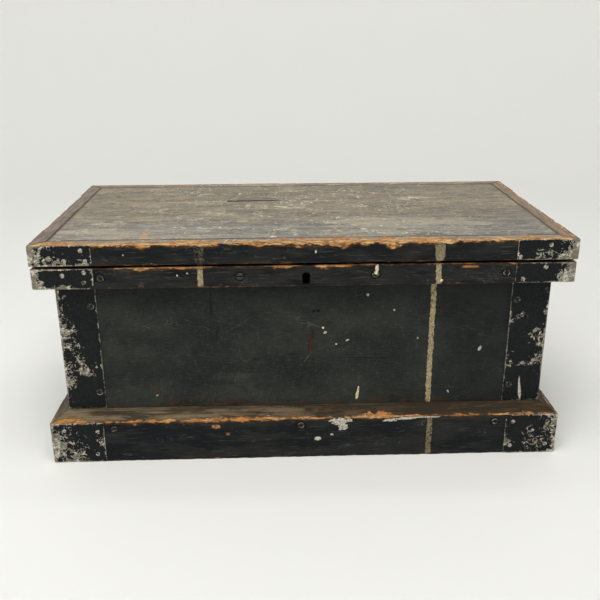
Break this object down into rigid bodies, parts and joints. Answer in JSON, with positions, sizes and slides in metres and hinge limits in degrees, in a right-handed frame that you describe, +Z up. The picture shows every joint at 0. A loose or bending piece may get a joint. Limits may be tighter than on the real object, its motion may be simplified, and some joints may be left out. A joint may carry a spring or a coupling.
{
  "type": "wooden money box",
  "caption": "Low black-painted wooden chest used as a money box: hinged lid with a coin slot, chest lock with keyhole, metal corner pieces, bevelled plinth.",
  "frame": {"origin": "under the middle of the whole box, on the surface that it stands on", "axes": "+X along the front towards the right, +Y towards the back, +Z up; the keyhole faces -Y"},
  "size_m": [0.508, 0.2742, 0.226],
  "materials": {
    "trim_wood": "worn black paint on softwood, bare orange wood along the edges",
    "body_wood": "matte black paint with a green cast, scuffed",
    "lid_top_wood": "black paint worn to grey-brown wood, scratched",
    "bare_wood": "unpainted softwood, aged",
    "corner_metal": "black paint chipped off sheet iron",
    "ironwork": "dark aged iron"
  },
  "bodies": {
    "chest": {"front_board": "body_wood", "back_board": "body_wood", "left_end_board": "body_wood", "right_end_board": "body_wood", "bottom_board": "bare_wood", "corner_angle_front_left": "corner_metal", "corner_angle_front_right": "corner_metal", "corner_angle_back_left": "corner_metal", "corner_angle_back_right": "corner_metal", "plinth_front": "trim_wood", "plinth_right": "trim_wood", "plinth_back": "trim_wood", "plinth_left": "trim_wood", "plinth_plate_front_left": "corner_metal", "plinth_plate_front_right": "corner_metal", "plinth_plate_back_left": "corner_metal", "plinth_plate_back_right": "corner_metal", "band_front": "trim_wood", "band_right": "trim_wood", "band_back": "trim_wood", "band_left": "trim_wood", "band_plate_front_left": "corner_metal", "band_plate_front_right": "corner_metal", "band_plate_back_left": "corner_metal", "band_plate_back_right": "corner_metal", "hinge_left_band_leaf": "ironwork", "hinge_right_band_leaf": "ironwork", "hinge_left_pin": "ironwork", "hinge_right_pin": "ironwork", "lock_case": "ironwork", "lock_cover": "ironwork", "band_screw_1": "ironwork", "band_screw_2": "ironwork", "band_screw_3": "ironwork", "band_screw_4": "ironwork", "plinth_screw_1": "ironwork", "plinth_screw_2": "ironwork", "plinth_screw_3": "ironwork", "angle_screw_left_lower": "ironwork", "angle_screw_left_upper": "ironwork", "angle_screw_right_lower": "ironwork", "angle_screw_right_upper": "ironwork"},
    "lid": {"lid_board_front": "lid_top_wood", "lid_board_rear": "lid_top_wood", "lid_rim_front": "trim_wood", "lid_rim_right": "trim_wood", "lid_rim_back": "trim_wood", "lid_rim_left": "trim_wood", "lid_plate_front_left": "corner_metal", "lid_plate_front_right": "corner_metal", "lid_plate_back_left": "corner_metal", "lid_plate_back_right": "corner_metal", "hinge_left_lid_leaf": "ironwork", "hinge_right_lid_leaf": "ironwork", "lock_link_plate": "ironwork"},
    "lock_bolt": {"lock_bolt": "ironwork"}
  },
  "joints": [
    {"name": "lid_hinge", "type": "hinge", "parent": "chest", "child": "lid", "pos_m": [0, 0.13445, 0.20475], "axis": [-1, 0, 0], "range_deg": [0, 180]},
    {"name": "lock_bolt_slide", "type": "slide", "parent": "chest", "child": "lock_bolt", "axis": [1, 0, 0], "range_m": [0, 0.006]}
  ]
}
